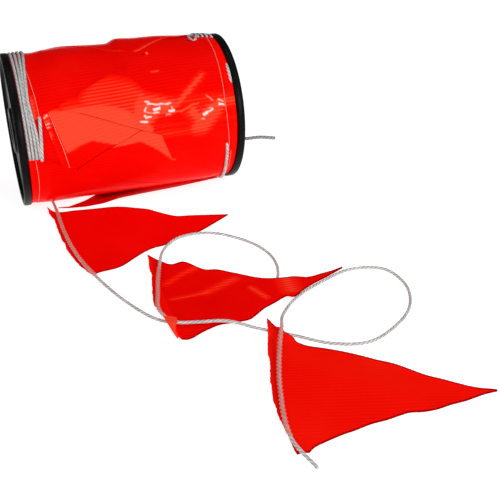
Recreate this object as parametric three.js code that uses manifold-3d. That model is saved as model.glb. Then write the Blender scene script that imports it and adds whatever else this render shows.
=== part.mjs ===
// Reel of bunting: a moulded spool wound with film pennants that are sewn to a twisted cord.
// The last three pennants have run off and lie in front of it, on the surface that it stands on.
// Millimetres, +Z up. The spool's axis runs along X, the loose end lies towards -Y.
import * as THREE from 'three';
import { mergeVertices } from 'three/addons/utils/BufferGeometryUtils.js';
import Module from 'manifold-3d';

// ---- driving dimensions ----
const GAP = 0.3; // clearance between pieces that touch
const SPOOL_WIDTH = 264; // over both flanges
const FLANGE_RADIUS = 90;
const RIM_WIDTH = 9;
const RIM_WALL = 5; // radial thickness of the raised rim
const WEB_THICKNESS = 4.5;
const RIM_CHAMFER = 1;
const HUB_RADIUS = 27; // raised boss around the spindle bore
const BORE_RADIUS = 17;
const BARREL_RADIUS = 30;
const FLAT_DEPTH = 0.4; // small flat spot that each flange stands on
const CORD_RADIUS = 2.1;
const SHEET = 1.2; // thickness of a pennant's solid
const PENNANT_ROWS = 16;
const PENNANT_COLUMNS = 16;
const ROUND_STEPS = 60; // facets around the spool and the winding

const axisHeight = FLANGE_RADIUS - FLAT_DEPTH;
const innerHalf = SPOOL_WIDTH / 2 - RIM_WIDTH;
const windingHalf = innerHalf - GAP;
const radians = THREE.MathUtils.degToRad;

// The cord's inner end is poked out through this hole in the right flange.
const STUB_HOLE = { y: -32, z: 57, radius: CORD_RADIUS + 0.5 };

// ---- the wound form ----
// Radius of the winding at stations along the axis, at five places around it.
const WOUND_FORM = [
  { x: -windingHalf, under: 83.4, low: 87.0, front: 85.0, top: 87.0, back: 85.0 },
  { x: -109, under: 84.2, low: 88.2, front: 86.0, top: 87.4, back: 85.5 },
  { x: -98, under: 84.6, low: 88.8, front: 87.0, top: 86.8, back: 86.0 },
  { x: -80, under: 85.0, low: 88.8, front: 87.6, top: 89.0, back: 87.0 },
  { x: -60, under: 85.0, low: 88.5, front: 88.0, top: 90.2, back: 88.0 },
  { x: -8, under: 85.0, low: 88.5, front: 88.5, top: 88.6, back: 87.5 },
  { x: 5, under: 85.0, low: 88.6, front: 88.8, top: 92.4, back: 88.0 },
  { x: 50, under: 85.0, low: 88.8, front: 89.2, top: 92.6, back: 89.0 },
  { x: 90, under: 84.8, low: 88.6, front: 88.6, top: 90.4, back: 88.5 },
  { x: 110, under: 84.2, low: 88.0, front: 87.6, top: 88.8, back: 87.0 },
  { x: windingHalf, under: 83.4, low: 86.0, front: 85.5, top: 87.0, back: 85.5 },
];
// Angles of those places, from the front (0) over the top (90) to the back (180).
const WOUND_ANGLES = { under: -90, low: -60, front: 20, top: 110, back: 200, round: 270 };

// Soft ridges and hollows where pennants overlap; along and around are half widths in mm and degrees.
const OVERLAPS = [
  { x: 8, angle: 118, along: 11, around: 34, rise: 1.2 },
  { x: -50, angle: 82, along: 34, around: 9, rise: 1.0 },
  { x: -18, angle: 10, along: 42, around: 7, rise: 1.1 },
  { x: -64, angle: -10, along: 30, around: 9, rise: -1.2 },
  { x: 46, angle: 34, along: 30, around: 12, rise: 0.9 },
  { x: 82, angle: 12, along: 18, around: 10, rise: -1.0 },
  { x: -30, angle: 165, along: 45, around: 11, rise: 1.2 },
  { x: 54, angle: 205, along: 36, around: 10, rise: -1.2 },
];

const smooth = (t) => t * t * (3 - 2 * t);
const clamp01 = (t) => Math.min(Math.max(t, 0), 1);

// Row of a table at x, with every other named column blended between the rows on either side.
function rowAt(table, key, value, blend = (t) => t) {
  const upper = Math.max(1, table.findIndex((row) => row[key] >= value));
  const [a, b] = [table[upper - 1], table[upper]];
  const t = blend(clamp01((value - a[key]) / (b[key] - a[key])));
  return Object.fromEntries(Object.keys(a).map((name) => [name, THREE.MathUtils.lerp(a[name], b[name], t)]));
}

function windingRadius(x, degrees) {
  const row = rowAt(WOUND_FORM, 'x', x, smooth);
  const angle = ((degrees + 90 + 360) % 360) - 90;
  const places = Object.keys(WOUND_ANGLES);
  const next = places.findIndex((place) => WOUND_ANGLES[place] > angle);
  const [from, to] = [places[next - 1], places[next]];
  const t = (angle - WOUND_ANGLES[from]) / (WOUND_ANGLES[to] - WOUND_ANGLES[from]);
  let radius = THREE.MathUtils.lerp(row[from], row[to === 'round' ? 'under' : to], smooth(t));
  for (const lap of OVERLAPS) {
    const along = (x - lap.x) / lap.along;
    const around = (((angle - lap.angle + 540) % 360) - 180) / lap.around;
    radius += lap.rise * Math.exp(-along * along - around * around);
  }
  return radius;
}

// Point at a radius and an angle around the spool's axis.
function onReel(x, degrees, radius) {
  const y = -radius * Math.cos(radians(degrees));
  return [x, y, axisHeight + radius * Math.sin(radians(degrees))];
}

// ---- the loose cord ----
// Route of the cord's middle, from under the winding, past the three pennants, to its cut end.
const CORD_ROUTE = [
  [-98, -4, 2.4],
  [-97, -27, 3.0],
  [-96, -50, 4.0],
  [-95, -109, 3.9],
  [-89, -164, 3.9],
  [-77, -209, 3.5],
  [-56, -262, 2.3],
  [-31, -302, 2.3],
  [-8, -312, 2.3],
  [49, -307, 2.3],
  [95, -283, 2.3],
  [112, -256, 2.3],
  [115, -222, 2.3],
  [100, -188, 2.3],
  [65, -160, 3.5],
  [29, -159, 3.9],
  [5, -178, 4.0],
  [-10, -214, 4.8],
  [-23, -259, 4.6],
  [-30, -295, 8.7],
  [-20, -317, 9.0],
  [1, -324, 8.8],
  [29, -329, 7.0],
  [57, -345, 2.5],
  [85, -365, 2.4],
  [115, -388, 2.3],
  [150, -398, 2.3],
  [187, -384, 2.3],
  [217, -359, 2.3],
  [232, -323, 2.3],
  [224, -289, 2.3],
  [190, -278, 2.3],
  [149, -290, 2.3],
  [110, -310, 2.3],
  [86, -335, 4.2],
  [77, -355, 9.5],
  [63, -385, 6.2],
  [45, -432, 4.0],
  [31, -493, 3.9],
  [39, -530, 3.2],
];
// Stretches of the route that pass under a pennant, by their first and last point above.
const UNDER_PENNANT_2 = [7, 11];
const UNDER_TIP_2 = [31, 33.5];
const UNDER_PENNANT_3 = [23, 25];

const curveThrough = (points) =>
  new THREE.CatmullRomCurve3(points.map((p) => new THREE.Vector3(...p)), false, 'centripetal');

const STUB_ROUTE = [
  [windingHalf + GAP, STUB_HOLE.y, STUB_HOLE.z],
  [SPOOL_WIDTH / 2 + 4, STUB_HOLE.y, STUB_HOLE.z],
  [SPOOL_WIDTH / 2 + 20, STUB_HOLE.y - 0.5, STUB_HOLE.z - 2.5],
  [SPOOL_WIDTH / 2 + 40, STUB_HOLE.y - 2, STUB_HOLE.z - 2.5],
  [SPOOL_WIDTH / 2 + 60, STUB_HOLE.y - 3, STUB_HOLE.z - 6],
];

function cordSolid(route, steps) {
  const section = new THREE.Shape(
    Array.from({ length: 8 }, (_, i) => {
      const angle = (i / 8) * 2 * Math.PI;
      return new THREE.Vector2(CORD_RADIUS * Math.cos(angle), CORD_RADIUS * Math.sin(angle));
    }),
  );
  return new THREE.ExtrudeGeometry(section, { extrudePath: curveThrough(route), steps, bevelEnabled: false });
}

// ---- closed bodies from rings of points ----
// Every ring is one closed section; rings join in order, and the ends are capped or join up.
function ringBody(rings, { closed = false, caps = null } = {}) {
  const count = rings[0].length;
  const indices = [];
  const last = closed ? rings.length : rings.length - 1;
  for (let i = 0; i < last; i++) {
    for (let j = 0; j < count; j++) {
      const [a, b] = [i * count + j, i * count + ((j + 1) % count)];
      const step = (((i + 1) % rings.length) - i) * count;
      indices.push(a, b, b + step, a, b + step, a + step);
    }
  }
  if (caps) {
    const end = (rings.length - 1) * count;
    for (const [a, b, c] of caps) indices.push(c, b, a, end + a, end + b, end + c);
  }
  const geometry = new THREE.BufferGeometry();
  geometry.setAttribute('position', new THREE.Float32BufferAttribute(rings.flat(2), 3));
  geometry.setIndex(indices);
  geometry.computeVertexNormals();
  return geometry;
}

// A sheet from rows of [lower point, upper point] pairs, one pair for each column.
function sheetBody(rows) {
  const columns = rows[0].length;
  const rings = rows.map((row) => [
    ...row.map(([lower]) => lower),
    ...row.map(([, upper]) => upper).reverse(),
  ]);
  const caps = [];
  for (let j = 0; j < columns - 1; j++) {
    const [a, b, c, d] = [j, j + 1, 2 * columns - 2 - j, 2 * columns - 1 - j];
    caps.push([a, b, c], [a, c, d]);
  }
  return ringBody(rings, { caps });
}

// ---- the pennants that lie on the surface ----
// along runs from the sewn edge to the tip; far and near are the two long edges, as distances
// along and across; bow is how far the middle of a row swells back towards the sewn edge;
// farLift and nearLift raise an edge off the surface.
const PENNANTS = {
  pennant_1: {
    middle: [-91, -124],
    turn: 0.1,
    over: [],
    sections: [
      { farAlong: -3, far: 86, nearAlong: 6, near: -75, bow: 9, farLift: 0, nearLift: 0 },
      { farAlong: 25, far: 66, nearAlong: 38, near: -72, bow: 7, farLift: 0, nearLift: 0 },
      { farAlong: 49, far: 59, nearAlong: 66, near: -58, bow: 4, farLift: 1, nearLift: 0 },
      { farAlong: 70, far: 48, nearAlong: 87, near: -53, bow: 2, farLift: 2, nearLift: 0 },
      { farAlong: 92, far: 37, nearAlong: 106, near: -47, bow: 0, farLift: 2, nearLift: 0 },
      { farAlong: 112, far: 23, nearAlong: 129, near: -44, bow: 0, farLift: 0.5, nearLift: 0 },
      { farAlong: 132, far: 4, nearAlong: 145, near: -40, bow: 0, farLift: 0, nearLift: 0 },
      { farAlong: 162, far: -5, nearAlong: 164, near: -30, bow: 0, farLift: 0, nearLift: 0 },
      { farAlong: 190, far: -15, nearAlong: 190, near: -17, bow: 0, farLift: 0, nearLift: 0 },
    ],
  },
  pennant_2: {
    middle: [-13.6, -261.5],
    turn: -0.04,
    over: [UNDER_PENNANT_2, UNDER_TIP_2],
    sections: [
      { farAlong: -3, far: 82, nearAlong: -5, near: -77, bow: 8, farLift: 0, nearLift: 0 },
      { farAlong: 9, far: 67, nearAlong: 17, near: -77, bow: 11, farLift: 0.5, nearLift: 0 },
      { farAlong: 25, far: 51, nearAlong: 38, near: -70, bow: 7, farLift: 3, nearLift: 0.5 },
      { farAlong: 43, far: 41, nearAlong: 63, near: -68, bow: 3, farLift: 1, nearLift: 0 },
      { farAlong: 63, far: 25, nearAlong: 82, near: -61, bow: 0, farLift: 3, nearLift: 0 },
      { farAlong: 89, far: 11, nearAlong: 100, near: -51, bow: 0, farLift: 1, nearLift: 0.5 },
      { farAlong: 112, far: -10, nearAlong: 117, near: -48, bow: 0, farLift: 0, nearLift: 0 },
      { farAlong: 136, far: -11, nearAlong: 141, near: -39, bow: 0, farLift: 0, nearLift: 0 },
      { farAlong: 164, far: -16, nearAlong: 166, near: -28, bow: 0, farLift: 0, nearLift: 0 },
      { farAlong: 192, far: -9, nearAlong: 192, near: -12, bow: 0, farLift: 0, nearLift: 0 },
    ],
  },
  pennant_3: {
    middle: [49.5, -430.4],
    turn: -0.29,
    over: [UNDER_PENNANT_3],
    sections: [
      { farAlong: -8, far: 94, nearAlong: 5, near: -82, bow: 8, farLift: 0, nearLift: 0 },
      { farAlong: 10, far: 71, nearAlong: 26, near: -72, bow: 8, farLift: 0, nearLift: 0 },
      { farAlong: 30, far: 57, nearAlong: 44, near: -61, bow: 4, farLift: 0.5, nearLift: 0 },
      { farAlong: 55, far: 49, nearAlong: 67, near: -51, bow: 0, farLift: 1.5, nearLift: 0.5 },
      { farAlong: 78, far: 41, nearAlong: 90, near: -42, bow: 0, farLift: 1, nearLift: 0.5 },
      { farAlong: 105, far: 28, nearAlong: 115, near: -37, bow: 0, farLift: 1, nearLift: 0.5 },
      { farAlong: 133, far: 12, nearAlong: 138, near: -34, bow: 0, farLift: 1, nearLift: 0 },
      { farAlong: 159, far: 0, nearAlong: 163, near: -22, bow: 0, farLift: 0.5, nearLift: 0 },
      { farAlong: 193, far: -8, nearAlong: 193, near: -11, bow: 0, farLift: 0, nearLift: 0 },
    ],
  },
};
// Where a pennant lies over the cord it is raised clear of it across the inner width,
// and comes down to the surface at the outer one.
const HUMP = { height: 2 * CORD_RADIUS + 0.7, inner: 11, outer: 22 };

// Smallest distance in plan from a point to the middle of a stretch of the cord.
function nearestCord(x, y, stretches) {
  let nearest = Infinity;
  const line = curveThrough(CORD_ROUTE).getPoints(8 * (CORD_ROUTE.length - 1));
  for (const [first, last] of stretches) {
    for (const p of line.slice(8 * first, 8 * last + 1)) {
      nearest = Math.min(nearest, Math.hypot(p.x - x, p.y - y));
    }
  }
  return nearest;
}

function pennantSolid({ middle, turn, over, sections }) {
  const numbered = sections.map((row, i) => ({ row: i, ...row }));
  const rows = [];
  for (let i = 0; i <= PENNANT_ROWS; i++) {
    const s = rowAt(numbered, 'row', (i / PENNANT_ROWS) * (sections.length - 1));
    rows.push([]);
    for (let j = 0; j <= PENNANT_COLUMNS; j++) {
      const across = j / PENNANT_COLUMNS;
      const side = 2 * across - 1;
      const along = THREE.MathUtils.lerp(s.nearAlong, s.farAlong, across) - s.bow * (1 - side * side);
      const sideways = THREE.MathUtils.lerp(s.near, s.far, across);
      const x = middle[0] + along * Math.cos(turn) - sideways * Math.sin(turn);
      const y = middle[1] + along * Math.sin(turn) + sideways * Math.cos(turn);
      const reach = clamp01((HUMP.outer - nearestCord(x, y, over)) / (HUMP.outer - HUMP.inner));
      const edge = side > 0 ? s.farLift : s.nearLift;
      const lift = Math.max(HUMP.height * smooth(reach), edge * side ** 4);
      rows[i].push([[x, y, lift], [x, y, lift + SHEET]]);
    }
  }
  return sheetBody(rows);
}

// ---- the pennant that hangs from the underside of the winding ----
// Its outer face between a front edge and a back edge that is tucked under the winding.
const HANGING = [
  { x: -92.5, frontAngle: -64.4, frontRadius: 98.8, backAngle: -65.2, backRadius: 98.2 },
  { x: -79, frontAngle: -62.2, frontRadius: 100.6, backAngle: -64.4, backRadius: 98.8 },
  { x: -59, frontAngle: -60.9, frontRadius: 101.9, backAngle: -69.0, backRadius: 95.4 },
  { x: -38, frontAngle: -61.2, frontRadius: 101.0, backAngle: -78.0, backRadius: 91.4 },
  { x: -18, frontAngle: -61.0, frontRadius: 97.6, backAngle: -81.0, backRadius: 90.0 },
  { x: 10, frontAngle: -61.0, frontRadius: 96.0, backAngle: -82.0, backRadius: 89.6 },
  { x: 55, frontAngle: -61.5, frontRadius: 94.2, backAngle: -82.0, backRadius: 88.8 },
  { x: 88, frontAngle: -62.5, frontRadius: 92.0, backAngle: -82.0, backRadius: 87.6 },
  { x: 114, frontAngle: -64.0, frontRadius: 90.2, backAngle: -82.0, backRadius: 86.6 },
];
const HANGING_ROWS = 14;
const HANGING_COLUMNS = 6;

function hangingSolid() {
  const rows = [];
  const [start, end] = [HANGING[0].x, HANGING[HANGING.length - 1].x];
  for (let i = 0; i <= HANGING_ROWS; i++) {
    const x = THREE.MathUtils.lerp(start, end, i / HANGING_ROWS);
    const s = rowAt(HANGING, 'x', x);
    rows.push([]);
    for (let j = 0; j <= HANGING_COLUMNS; j++) {
      const t = j / HANGING_COLUMNS;
      const angle = THREE.MathUtils.lerp(s.frontAngle, s.backAngle, t);
      const surface = axisHeight / Math.abs(Math.sin(radians(angle)));
      const inner = windingRadius(x, angle) + GAP + 0.1;
      const wanted = THREE.MathUtils.lerp(s.frontRadius, s.backRadius, t);
      const outer = Math.min(Math.max(wanted, inner + SHEET), surface - 0.02);
      rows[i].push([onReel(x, angle, outer), onReel(x, angle, outer - SHEET)]);
    }
  }
  return sheetBody(rows);
}

// ---- the spool ----
const wasm = await Module();
wasm.setup();

function toManifold(geometry) {
  const bare = geometry.clone();
  bare.deleteAttribute('normal');
  bare.deleteAttribute('uv');
  const merged = mergeVertices(bare, 1e-4);
  return new wasm.Manifold(
    new wasm.Mesh({
      numProp: 3,
      vertProperties: new Float32Array(merged.attributes.position.array),
      triVerts: new Uint32Array(merged.index.array),
    }),
  );
}

function fromManifold(solid) {
  const mesh = solid.getMesh();
  const geometry = new THREE.BufferGeometry();
  geometry.setAttribute('position', new THREE.Float32BufferAttribute(mesh.vertProperties, 3));
  geometry.setIndex(new THREE.Uint32BufferAttribute(mesh.triVerts, 1));
  geometry.computeVertexNormals();
  return geometry;
}

// A profile of [radius, distance along the axis] pairs turned around the spool's axis.
function turned(profile) {
  const points = profile.map(([radius, along]) => new THREE.Vector2(radius, along));
  return new THREE.LatheGeometry([...points, points[0]], ROUND_STEPS).rotateZ(-Math.PI / 2);
}

function barrelSolid() {
  return turned([
    [BORE_RADIUS, -windingHalf],
    [BARREL_RADIUS, -windingHalf],
    [BARREL_RADIUS, windingHalf],
    [BORE_RADIUS, windingHalf],
  ]);
}

// side is -1 for the left flange and 1 for the right one, whose web has the cord's hole.
function flangeSolid(side) {
  const half = turned([
    [BORE_RADIUS, 0],
    [FLANGE_RADIUS - RIM_CHAMFER, 0],
    [FLANGE_RADIUS, RIM_CHAMFER],
    [FLANGE_RADIUS, RIM_WIDTH - RIM_CHAMFER],
    [FLANGE_RADIUS - RIM_CHAMFER, RIM_WIDTH],
    [FLANGE_RADIUS - RIM_WALL, RIM_WIDTH],
    [FLANGE_RADIUS - RIM_WALL, WEB_THICKNESS],
    [HUB_RADIUS, WEB_THICKNESS],
    [HUB_RADIUS, RIM_WIDTH],
    [BORE_RADIUS, RIM_WIDTH],
  ]);
  if (side < 0) half.rotateZ(Math.PI);
  const floor = new THREE.BoxGeometry(4 * RIM_WIDTH, FLANGE_RADIUS, 20).translate(0, 0, -axisHeight - 10);
  let flange = toManifold(half).subtract(toManifold(floor));
  if (side > 0) {
    const hole = new THREE.CylinderGeometry(STUB_HOLE.radius, STUB_HOLE.radius, 4 * RIM_WIDTH, 16);
    hole.rotateZ(Math.PI / 2).translate(0, STUB_HOLE.y, STUB_HOLE.z - axisHeight);
    flange = flange.subtract(toManifold(hole));
  }
  return fromManifold(flange);
}

function windingSolid() {
  const boreRadius = (BARREL_RADIUS + GAP) / Math.cos(Math.PI / ROUND_STEPS);
  const stations = [-windingHalf, -116, -109, -103, -98, -90, -80, -70, -60, -48, -34, -20, -8, -1];
  stations.push(5, 14, 28, 42, 56, 70, 82, 92, 104, 114, windingHalf);
  const rings = [];
  for (let j = 0; j < ROUND_STEPS; j++) {
    const degrees = (360 * j) / ROUND_STEPS;
    const ring = stations.map((x) => onReel(x, degrees, windingRadius(x, degrees)));
    ring.push(onReel(windingHalf, degrees, boreRadius), onReel(-windingHalf, degrees, boreRadius));
    rings.push(ring);
  }
  return ringBody(rings, { closed: true });
}

// ---- assembly ----
const MATERIALS = {
  spool: new THREE.MeshStandardMaterial({ color: 0x121111, roughness: 0.45 }),
  film: new THREE.MeshStandardMaterial({ color: 0xf01505, roughness: 0.3, side: THREE.DoubleSide }),
  cord: new THREE.MeshStandardMaterial({ color: 0xcfc9c8, roughness: 0.7 }),
};

const reel = new THREE.Group();

function add(name, geometry, material, place = [0, 0, 0]) {
  const mesh = new THREE.Mesh(geometry, MATERIALS[material]);
  mesh.name = name;
  mesh.position.set(...place);
  reel.add(mesh);
}

add('flange_left', flangeSolid(-1), 'spool', [-innerHalf, 0, axisHeight]);
add('flange_right', flangeSolid(1), 'spool', [innerHalf, 0, axisHeight]);
add('barrel', barrelSolid(), 'spool', [0, 0, axisHeight]);
add('winding', windingSolid(), 'film');
add('pennant_hanging', hangingSolid(), 'film');
for (const [name, pennant] of Object.entries(PENNANTS)) add(name, pennantSolid(pennant), 'film');

// The origin is under the middle of the spool and its three pennants, on the surface they rest on.
const footprint = new THREE.Box3().setFromObject(reel).getCenter(new THREE.Vector3());

add('cord_loose', cordSolid(CORD_ROUTE, 84), 'cord');
add('cord_stub', cordSolid(STUB_ROUTE, 7), 'cord');
reel.position.set(-footprint.x, -footprint.y, 0);

export default new THREE.Group().add(reel);
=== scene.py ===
import bpy
import numpy as np
from mathutils import Matrix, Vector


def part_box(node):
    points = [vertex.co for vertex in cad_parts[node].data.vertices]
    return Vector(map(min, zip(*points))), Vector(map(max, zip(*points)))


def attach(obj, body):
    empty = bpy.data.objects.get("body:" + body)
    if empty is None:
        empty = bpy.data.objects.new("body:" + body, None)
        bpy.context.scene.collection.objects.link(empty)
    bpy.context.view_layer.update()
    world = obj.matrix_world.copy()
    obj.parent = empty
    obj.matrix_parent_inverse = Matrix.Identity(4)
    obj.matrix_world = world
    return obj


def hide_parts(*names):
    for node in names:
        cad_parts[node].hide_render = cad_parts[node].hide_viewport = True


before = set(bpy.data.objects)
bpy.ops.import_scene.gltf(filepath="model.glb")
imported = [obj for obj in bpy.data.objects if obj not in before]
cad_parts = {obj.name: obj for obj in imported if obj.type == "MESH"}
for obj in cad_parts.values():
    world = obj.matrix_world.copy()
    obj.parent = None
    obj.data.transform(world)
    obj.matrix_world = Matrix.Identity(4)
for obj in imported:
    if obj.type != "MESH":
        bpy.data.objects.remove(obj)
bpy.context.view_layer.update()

# ---- Camera ----
# It stands in front of the spool and a little to its left, and looks down on the loose pennants.
# All places below are millimetres from the middle of the spool's axis, on the floor under it.
left_low, left_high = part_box("flange_left")
right_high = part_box("flange_right")[1]
SPOOL_MIDDLE = np.array([(left_low.x + right_high.x) / 2, (left_low.y + left_high.y) / 2, 0.0])
MM = 0.001


def placed(points):
    """Millimetres from under the spool's middle, as metres in the part's frame."""
    return np.asarray(points, float) * MM + SPOOL_MIDDLE


camera_data = bpy.data.cameras.new("camera")
camera_data.lens = 59.5  # millimetres, on a sensor 36 mm wide
camera_data.sensor_width = 36
camera = bpy.data.objects.new("camera", camera_data)
bpy.context.collection.objects.link(camera)
camera.matrix_world = (
    Matrix.Translation(placed([-177.4, -944.1, 505.8]))
    @ Matrix.Rotation(np.radians(-20.43), 4, "Z")
    @ Matrix.Rotation(np.radians(90 - 32.63), 4, "X")
    @ Matrix.Rotation(np.radians(1.31), 4, "Z")
)
bpy.context.scene.camera = camera


# ---- Loose cord ----
# The last metre and a half of the line, limp three-strand twisted cord of white and grey fibre, 4 mm thick.
# It leaves the underside of the winding, is sewn along the short edge of each pennant, and ends cut off.
CORD_RADIUS = 2.1
LAY = 15.0  # length in which a strand goes once round
YARN_PITCH = 0.0011
YARNS_ROUND = 9
LOOSE_ROUTE = [
    [-98, -4, 2.4], [-97, -27, 3.0], [-96, -50, 4.0], [-95, -109, 3.9], [-89, -164, 3.9],
    [-77, -209, 3.5], [-56, -262, 2.3], [-31, -302, 2.3], [-8, -312, 2.3], [49, -307, 2.3],
    [95, -283, 2.3], [112, -256, 2.3], [115, -222, 2.3], [100, -188, 2.3], [65, -160, 3.5],
    [29, -159, 3.9], [5, -178, 4.0], [-10, -214, 4.8], [-23, -259, 4.6], [-30, -295, 8.7],
    [-20, -317, 9.0], [1, -324, 8.8], [29, -329, 7.0], [57, -345, 2.5], [85, -365, 2.4],
    [115, -388, 2.3], [150, -398, 2.3], [187, -384, 2.3], [217, -359, 2.3], [232, -323, 2.3],
    [224, -289, 2.3], [190, -278, 2.3], [149, -290, 2.3], [110, -310, 2.3], [86, -335, 4.2],
    [77, -355, 9.5], [63, -385, 6.2], [45, -432, 4.0], [31, -493, 3.9], [39, -530, 3.2],
]


def run_along(path):
    """Distance from the path's first point to each of its points, along the path."""
    return np.r_[0, np.cumsum(np.linalg.norm(np.diff(path, axis=0), axis=1))]


def unit(vectors):
    """Each vector divided by its length."""
    return vectors / np.linalg.norm(vectors, axis=1, keepdims=True)


def smooth_path(points, step):
    """Centripetal Catmull-Rom curve through the points, resampled at an even step of its length.

    Each span is the cubic with the points' values and the tangents that uneven spacing
    (square root of the chord) gives at both of its ends.
    """
    points = np.asarray(points, float)
    points = np.vstack([2 * points[0] - points[1], points, 2 * points[-1] - points[-2]])
    gaps = np.sqrt(np.linalg.norm(np.diff(points, axis=0), axis=1))[:, None]
    before, here, after = gaps[:-2], gaps[1:-1], gaps[2:]
    p0, p1, p2, p3 = points[:-3], points[1:-2], points[2:-1], points[3:]
    leave = ((p1 - p0) / before - (p2 - p0) / (before + here) + (p2 - p1) / here) * here
    reach = ((p2 - p1) / here - (p3 - p1) / (here + after) + (p3 - p2) / after) * here
    t = np.linspace(0, 1, 60, endpoint=False)[None, :, None]
    p1, p2, leave, reach = (a[:, None, :] for a in (p1, p2, leave, reach))
    bend = 2 * p1 - 2 * p2 + leave + reach
    turn = -3 * p1 + 3 * p2 - 2 * leave - reach
    curve = (((bend * t + turn) * t + leave) * t + p1).reshape(-1, 3)
    curve = np.vstack([curve, points[-2]])
    length = run_along(curve)
    even = np.linspace(0, length[-1], max(2, int(round(length[-1] / step)) + 1))
    return np.stack([np.interp(even, length, curve[:, k]) for k in range(3)], axis=1)


def surface(name, points, finish, uv=None, around=False, ring=False, ends=False, flip=False, marks=None):
    """Object from a grid of points (rows, columns, 3) in millimetres, joined up as quads.

    around joins the last column to the first and ring the last row to the first; ends closes
    the first and last row with one face each; flip turns the faces over. uv has one more column or
    row where the grid joins up. marks holds values, one for every point, that the finish reads by name.
    """
    rows, columns = points.shape[:2]
    corners = np.arange(rows * columns).reshape(rows, columns)
    if around:
        corners = np.concatenate([corners, corners[:, :1]], axis=1)
    if ring:
        corners = np.concatenate([corners, corners[:1]], axis=0)
    quads = np.stack([corners[:-1, :-1], corners[:-1, 1:], corners[1:, 1:], corners[1:, :-1]], axis=-1)
    if flip:
        quads = quads[..., ::-1]
    faces = quads.reshape(-1, 4).tolist()
    if ends:
        first, last = np.arange(columns), np.arange(columns) + (rows - 1) * columns
        if flip:
            first, last = first[::-1], last[::-1]
        faces += [first[::-1].tolist(), last.tolist()]
    mesh = bpy.data.meshes.new(name)
    mesh.from_pydata(placed(points).reshape(-1, 3).tolist(), [], faces)
    if uv is not None:
        place = np.arange(uv.shape[0] * uv.shape[1]).reshape(uv.shape[:2])
        picks = np.stack([place[:-1, :-1], place[:-1, 1:], place[1:, 1:], place[1:, :-1]], axis=-1)
        if flip:
            picks = picks[..., ::-1]
        flat = uv.reshape(-1, 2)[picks.reshape(-1)]
        if ends:
            flat = np.vstack([flat, uv[0, :columns][::-1], uv[-1, :columns]])
        layer = mesh.uv_layers.new(name="flat")
        layer.data.foreach_set("uv", flat.astype(np.float32).ravel())
    for mark, values in (marks or {}).items():
        attribute = mesh.attributes.new(mark, "FLOAT", "POINT")
        attribute.data.foreach_set("value", np.asarray(values, np.float32).ravel())
    mesh.materials.append(finish.material)
    mesh.shade_smooth()
    mesh.update()
    made = bpy.data.objects.new(name, mesh)
    bpy.context.collection.objects.link(made)
    return made


class Wire:
    """A value on a shader wire: +, - and * with it add Math nodes."""

    def __init__(self, finish, node, output=0):
        self.finish, self.node, self.socket = finish, node, node.outputs[output]

    def at(self, output):
        """Another output of the same node."""
        return Wire(self.finish, self.node, output)

    def math(self, operation, first, second=0.0):
        """One Math node with the two values."""
        return self.finish.node("ShaderNodeMath", {"operation": operation}, {0: first, 1: second})

    def __add__(self, other):
        return self.math("ADD", self, other)

    __radd__ = __add__

    def __sub__(self, other):
        return self.math("SUBTRACT", self, other)

    def __rsub__(self, other):
        return self.math("SUBTRACT", other, self)

    def __mul__(self, other):
        return self.math("MULTIPLY", self, other)

    __rmul__ = __mul__


class Finish:
    """A material. Constants go on the shader's sockets, and node() adds any node."""

    def __init__(self, name, constants):
        self.material = bpy.data.materials.new(name)
        self.material.use_nodes = True
        self.tree = self.material.node_tree
        self.shader = self.tree.nodes["Principled BSDF"]
        for socket, value in constants.items():
            self.shader.inputs[socket].default_value = value

    def node(self, kind, settings=None, inputs=None, output=0):
        """Any node: its settings first, then the values or wires of its sockets."""
        made = self.tree.nodes.new(kind)
        for name, value in (settings or {}).items():
            setattr(made, name, value)
        for socket, value in (inputs or {}).items():
            self.feed(made.inputs[socket], value)
        return Wire(self, made, output)

    def feed(self, socket, value):
        """A wire is linked to the socket, and a value is set on it."""
        if isinstance(value, Wire):
            self.tree.links.new(value.socket, socket)
        else:
            socket.default_value = value

    def drive(self, socket, wire):
        """A wire into one of the shader's own sockets."""
        self.feed(self.shader.inputs[socket], wire)

    def place(self, kind):
        """Object coordinates, or the piece's own UV map."""
        return self.node("ShaderNodeTexCoord", None, None, kind)

    def mark(self, name):
        """A value that the piece's mesh carries at every point."""
        return self.node("ShaderNodeAttribute", {"attribute_name": name}, None, "Fac")

    def sine(self, value):
        """Sine of a value in radians."""
        return self.node("ShaderNodeMath", {"operation": "SINE"}, {0: value})

    def rising(self, value, low, high):
        """0 below low, 1 above high and straight between them; falling when low is the larger."""
        return self.node("ShaderNodeMapRange", None, {"Value": value, "From Min": low, "From Max": high})

    def noise(self, place, scale, detail=2.0):
        """Smooth noise between 0 and 1, with scale waves in a metre."""
        return self.node("ShaderNodeTexNoise", None, {"Vector": place, "Scale": scale, "Detail": detail})

    def blend(self, factor, first, second):
        """Straight blend of two colours, the factor held between 0 and 1."""
        settings = {"data_type": "RGBA", "clamp_factor": True}
        return self.node("ShaderNodeMix", settings, {0: factor, 6: first, 7: second}, 2)

    def bump(self, height, distance, strength=1.0):
        """Tilts the surface's normal as if it rose by height times the distance in metres."""
        inputs = {"Height": height, "Distance": distance, "Strength": strength}
        self.drive("Normal", self.node("ShaderNodeBump", None, inputs))


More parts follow.
